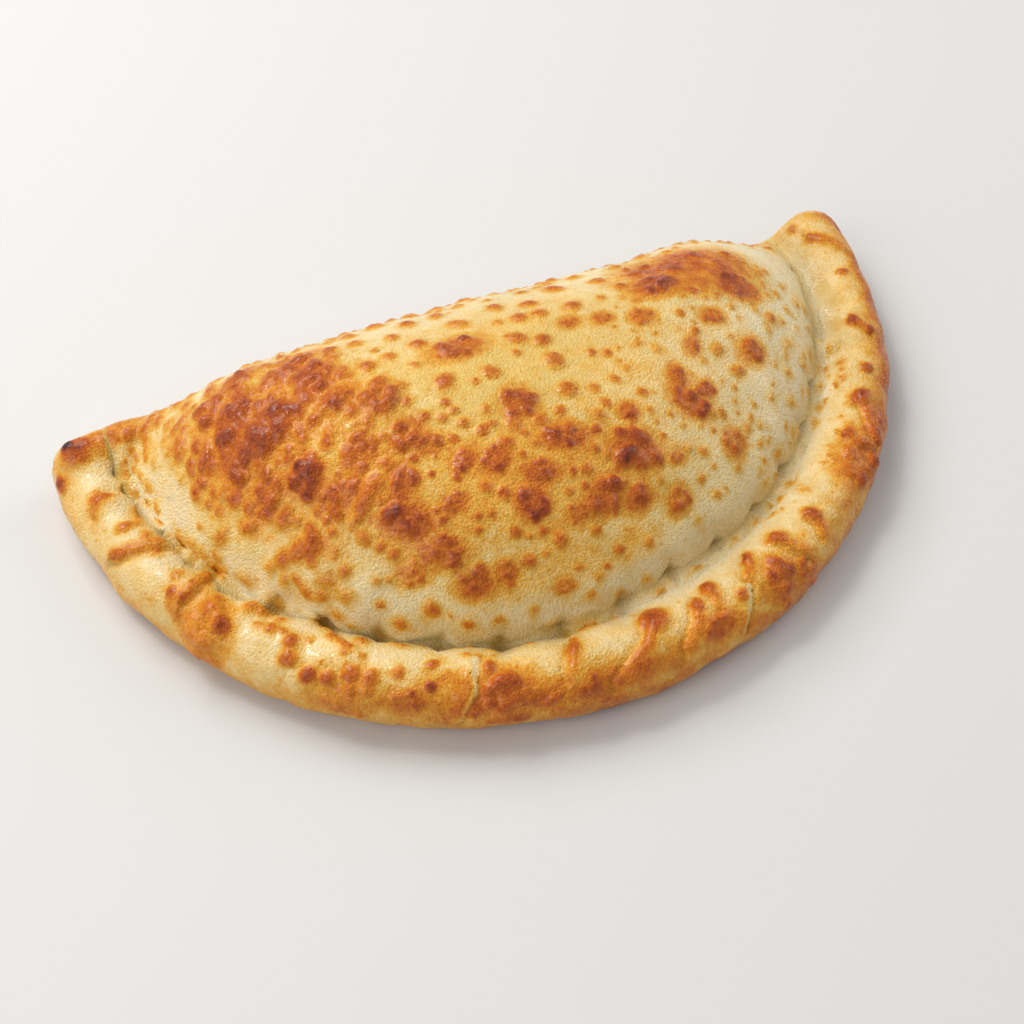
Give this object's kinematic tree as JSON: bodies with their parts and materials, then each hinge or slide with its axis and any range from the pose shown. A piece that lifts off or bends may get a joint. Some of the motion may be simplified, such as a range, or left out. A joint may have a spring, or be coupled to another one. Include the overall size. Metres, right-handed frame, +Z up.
{
  "type": "calzone",
  "caption": "Baked half-moon folded pizza with a domed blistered crust and a thick rolled and crimped rim.",
  "frame": {"origin": "middle of the bounding box, on the table", "axes": "+X along the fold, -Y towards the rolled rim, +Z up"},
  "size_m": [0.2722, 0.1468, 0.0517],
  "materials": {
    "crust": "golden baked dough, lightly oiled, toasted red-brown on the blisters"
  },
  "bodies": {
    "root": {"calzone": "crust"}
  },
  "joints": []
}
